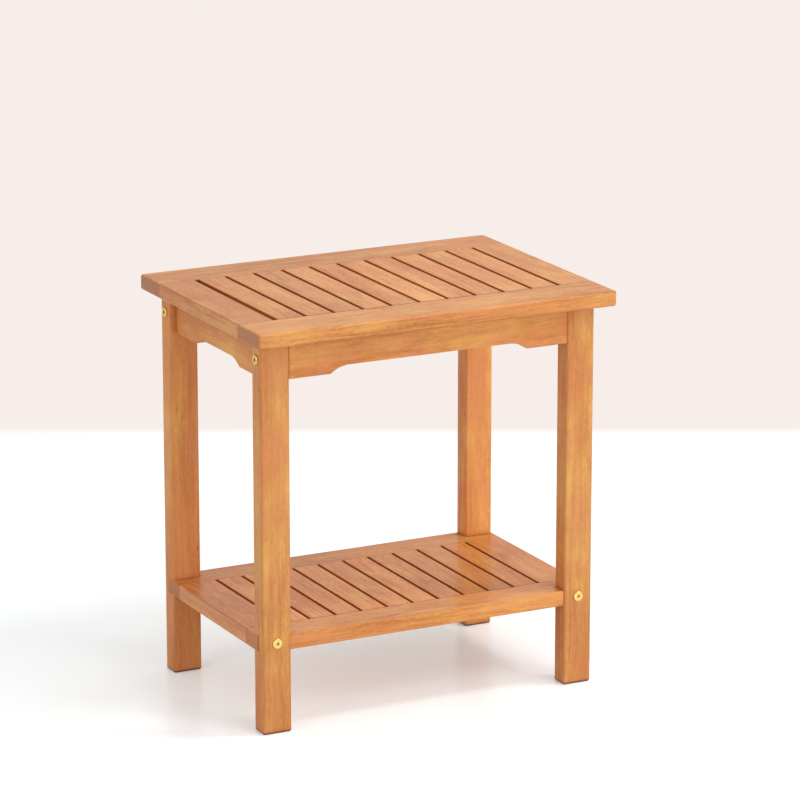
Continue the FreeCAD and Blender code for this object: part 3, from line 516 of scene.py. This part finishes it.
def tune_board(name, node, draw):
    """Gives a board the facts that its wood reads: where it lies, which way it grew and how it looks."""
    low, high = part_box(name)
    along, across = (AXES[axis] for axis in GRAIN[board_kind(name)])
    half = (high - low) / 2 / MM
    node["board_middle"] = list((low + high) / 2)
    node["grain_along"] = list(along)
    node["grain_across"] = list(across)
    through = along.cross(across)
    node["board_half"] = [abs(half.dot(axis)) for axis in (along, across, through)]
    aside = draw.uniform(-PITH_ASIDE, PITH_ASIDE)
    node["board_pith"] = [0.0, aside, draw.choice((-1, 1)) * draw.uniform(*PITH_BEYOND)]
    node["board_seed"] = draw.uniform(0, LAST_SEED)
    node["board_tone_and_light"] = TONES_AND_PAINTED_LIGHT.get(name, draw.uniform(*PLAIN_TONE))
    node["board_warmth"] = WARMTH.get(name, draw.uniform(*PLAIN_WARMTH))
    node["board_shoulder"] = shoulder_facts(name, node["board_half"][0])


def finish_nodes():
    """Gives every node its finish, and every board its own facts, in the order of their names."""
    nooks = nooks_group()
    group = oiled_board_group(nooks)
    top = oiled_wood("oiled top", group, {
        **FLAT_WOOD, "End Wood": (0.49, 0.212, 0.10, 1), "Gloss Roughness": 0.42, "Grain Contrast": 1.25,
        "Ring Contrast": 0.3, "Fleck Contrast": 0.3, "Knot Share": 0.05, "Nook Shade": 0.9}, 0.30, 0.34)
    shelf = oiled_wood("oiled shelf", group, {
        **FLAT_WOOD, "End Wood": (0.52, 0.19, 0.06, 1), "Gloss Roughness": 0.40, "Grain Contrast": 1.1,
        "Ring Contrast": 0.3, "Fleck Contrast": 0.3, "Knot Share": 0.05, "Nook Shade": 0.9}, 0.24, 0.12)
    leg = oiled_wood("oiled leg", group, {
        **UPRIGHT_WOOD, "End Wood": (0.45, 0.2, 0.09, 1), "Gloss Roughness": 0.5, "Grain Contrast": 0.68,
        "Ring Contrast": 0.2, "Fleck Contrast": 0.45, "Knot Share": 0.14, "Nook Shade": 0.45}, 0.06, 0.3)
    apron = oiled_wood("oiled apron", group, {
        **UPRIGHT_WOOD, "End Wood": (0.45, 0.2, 0.09, 1), "Gloss Roughness": 0.5, "Grain Contrast": 0.68,
        "Ring Contrast": 0.24, "Fleck Contrast": 0.2, "Knot Share": 0.06, "Nook Shade": 0.4}, 0.06, 0.3)
    # The last colour of each is the painted shade in its recesses.
    brass = turned_metal(
        "brass", nooks, (0.74, 0.545, 0.19, 1), (0.64, 0.45, 0.13, 1), (0.50, 0.42, 0.10, 1), 0.33)
    steel = turned_metal(
        "zinc steel", nooks, (0.66, 0.67, 0.68, 1), (0.5, 0.51, 0.53, 1), (0.15, 0.15, 0.16, 1), 0.32)
    finishes = {
        "top_board": top, "shelf_board": shelf, "leg_board": leg, "apron_board": apron,
        "dowel_beech": bare_dowel_wood(), "brass_bolt": brass, "zinc_steel": steel}
    slots = {part["node"]: part["material_slot"] for part in frame["record"]["subparts"]}
    draw = random.Random(DRAW_START)
    for name, node in sorted(frame["nodes"].items()):
        node.data.materials.clear()
        node.data.materials.append(finishes[slots[name]])
        if board_kind(name):
            tune_board(name, node, draw)


# ------------------------------------------------------------------------------------- floor and lights
# Half the floor's side.
FLOOR_REACH = 30.0
# Where the white floor round the table starts to turn beige, and where it ends.
WHITE_REACH, BEIGE_REACH = 1.14, 1.20
BEIGE = (0.93, 0.855, 0.815, 1.0)
# The white floor is a little greyer to the light that it throws back on the table.
FLOOR_SHOWN, FLOOR_LIT = (1.0, 1.0, 1.0, 1.0), (0.8, 0.8, 0.8, 1.0)
# A faint cool glow that only the eye and gloss see, which lifts the table's shadow.
SHADOW_LIFT, SHADOW_LIFT_COLOUR = 0.24, (0.8, 0.96, 1.0, 1.0)
# How strongly the plain white world lights the table.
PLAIN_LIGHT = 0.5


def seen_by_eye_or_gloss(g):
    """1 for what the camera sees straight, in a reflection or through glass, and 0 for light that falls."""
    path = g.add("LightPath").outputs
    seen = g.math("MAXIMUM", path["Is Camera Ray"], path["Is Glossy Ray"])
    return g.math("MAXIMUM", seen, path["Is Transmission Ray"])


def make_floor():
    mesh = bpy.data.meshes.new("floor")
    corners = [(-1, -1), (1, -1), (1, 1), (-1, 1)]
    mesh.from_pydata([(x * FLOOR_REACH, y * FLOOR_REACH, 0) for x, y in corners], [], [range(4)])
    floor = bpy.data.objects.new("floor", mesh)
    bpy.context.scene.collection.objects.link(floor)
    material, g = new_material("pale floor")
    # The white part is a square round the table, turned like the camera.
    place = g.add("TexCoord").outputs["Object"]
    sides = (Vector((math.sin(CAMERA_TURN), math.cos(CAMERA_TURN), 0)),
             Vector((math.cos(CAMERA_TURN), -math.sin(CAMERA_TURN), 0)))
    reach = g.math("MAXIMUM", *(
        g.math("ABSOLUTE", g.vector_math("DOT_PRODUCT", place, side)) for side in sides))
    far = g.remap(reach, WHITE_REACH, BEIGE_REACH, smooth=True)
    seen = seen_by_eye_or_gloss(g)
    # Near the table the floor shows its shadow; far away it keeps one plain colour.
    near = g.add("BsdfPrincipled", {
        "Base Color": g.mix(seen, FLOOR_LIT, FLOOR_SHOWN), "Roughness": 0.24,
        "Specular IOR Level": 0.2, "Emission Color": SHADOW_LIFT_COLOUR,
        "Emission Strength": g.math("MULTIPLY", seen, SHADOW_LIFT)})
    beyond = g.add("Emission", {"Color": BEIGE, "Strength": 1.0})
    mixed = g.add("MixShader", {
        0: g.math("MULTIPLY", seen, far), 1: near.outputs[0], 2: beyond.outputs[0]})
    finish_surface(g, mixed.outputs[0])
    mesh.materials.append(material)


def make_world():
    world = bpy.data.worlds.new("studio")
    world.use_nodes = True
    bpy.context.scene.world = world
    g = Graph(world.node_tree)
    world.node_tree.nodes.clear()
    plain = g.add("Background", {"Color": (1, 1, 1, 1), "Strength": PLAIN_LIGHT})
    shown = g.add("Background", {"Color": BEIGE, "Strength": 1.0})
    mixed = g.add("MixShader", {0: seen_by_eye_or_gloss(g), 1: plain.outputs[0], 2: shown.outputs[0]})
    output = g.add("OutputWorld")
    g.feed(output.inputs["Surface"], mixed.outputs[0])


def softbox(name, place, size, power):
    """White area light that faces the table's middle: size in metres, power in watts."""
    data = bpy.data.lights.new(name, "AREA")
    data.shape = "RECTANGLE"
    data.size, data.size_y = size
    data.energy = power
    light = bpy.data.objects.new(name, data)
    light.location = place
    light.rotation_euler = (TABLE_MIDDLE - light.location).to_track_quat("-Z", "Y").to_euler()
    bpy.context.scene.collection.objects.link(light)


def make_lights():
    softbox("overhead softbox", Vector((0.45, -0.1, 2.7)), (1.4, 1.4), 6)
    softbox("right softbox", Vector((1.6, -0.9, 2.7)), (0.6, 0.6), 23)
    softbox("front softbox", Vector((0.9, -2.4, 2.6)), (1.2, 1.2), 20)
    softbox("low front softbox", Vector((0.9, -3.0, 0.9)), (3.0, 1.6), 26)
    softbox("left softbox", Vector((-3.1, -0.9, 1.7)), (2.4, 2.0), 26)


make_camera()
finish_nodes()
make_floor()
make_world()
make_lights()
bpy.context.scene.view_settings.view_transform = "Standard"
